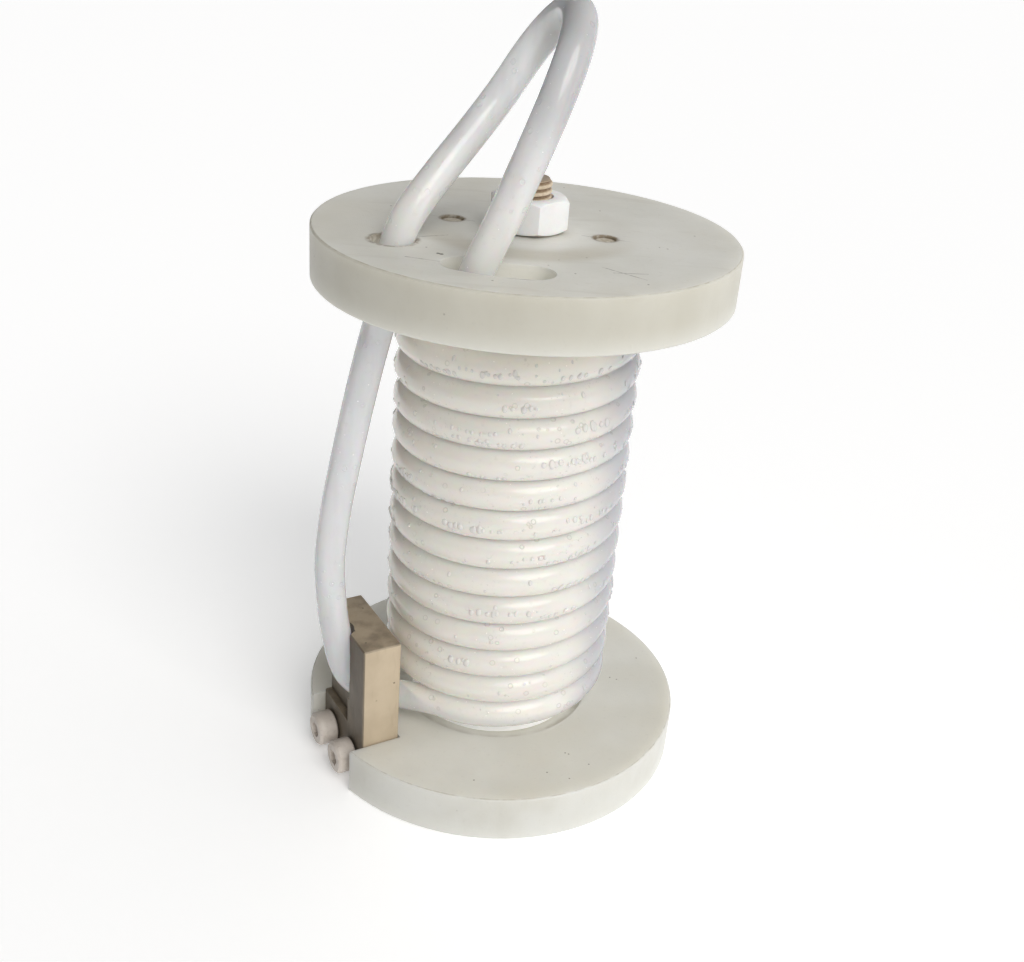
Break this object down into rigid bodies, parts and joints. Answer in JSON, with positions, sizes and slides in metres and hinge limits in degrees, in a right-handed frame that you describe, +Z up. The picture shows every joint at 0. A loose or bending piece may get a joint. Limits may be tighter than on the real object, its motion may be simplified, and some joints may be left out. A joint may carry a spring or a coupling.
{
  "type": "carbon dioxide diffuser",
  "caption": "Spool-shaped gas diffuser: clear silicone tube wound tightly on a core between round flanges, looped over the top and down into a screwed side block.",
  "frame": {"origin": "centre of the bottom flange's underside, on the surface the diffuser stands on", "axes": "+Z up along the core and the stud, towards the tube's loop; -Y towards the slot that the tube leaves by; the block is on the -X side"},
  "size_m": [0.08, 0.08, 0.1541],
  "materials": {
    "milky_plastic": "milky natural polyethylene, sawn and turned, softly translucent",
    "white_plastic": "plain white, satin",
    "white_nylon": "white moulded, matte",
    "tan_plastic": "tan machined plastic, matte, darker on its sides",
    "grey_plastic": "grey-beige moulded, matte",
    "clear_silicone": "cloudy clear, glossy"
  },
  "bodies": {
    "spool": {"top_flange": "milky_plastic", "bottom_flange": "milky_plastic", "winding_core": "white_plastic", "centre_stud": "tan_plastic", "bottom_nut": "white_nylon", "top_pin_right": "tan_plastic", "top_pin_left": "tan_plastic", "bottom_pin_right": "tan_plastic", "bottom_pin_left": "tan_plastic", "tube_block": "tan_plastic", "coil_tube": "clear_silicone", "loop_tube": "clear_silicone", "tube_joiner": "white_plastic"},
    "top_nut": {"top_nut": "white_nylon"},
    "block_screw_front": {"block_screw_front": "grey_plastic"},
    "block_screw_back": {"block_screw_back": "grey_plastic"}
  },
  "joints": [
    {"name": "top_nut_turn", "type": "hinge", "parent": "spool", "child": "top_nut", "pos_m": [0, 0, 0.1155], "axis": [0, 0, 1], "range_deg": [0, 2707]},
    {"name": "block_screw_front_turn", "type": "hinge", "parent": "spool", "child": "block_screw_front", "pos_m": [-0.02808, -0.02307, 0.005], "axis": [-0.8526, -0.5225, 0], "range_deg": [0, 4629]},
    {"name": "block_screw_back_turn", "type": "hinge", "parent": "spool", "child": "block_screw_back", "pos_m": [-0.03331, -0.01455, 0.005], "axis": [-0.8526, -0.5225, 0], "range_deg": [0, 4629]}
  ]
}
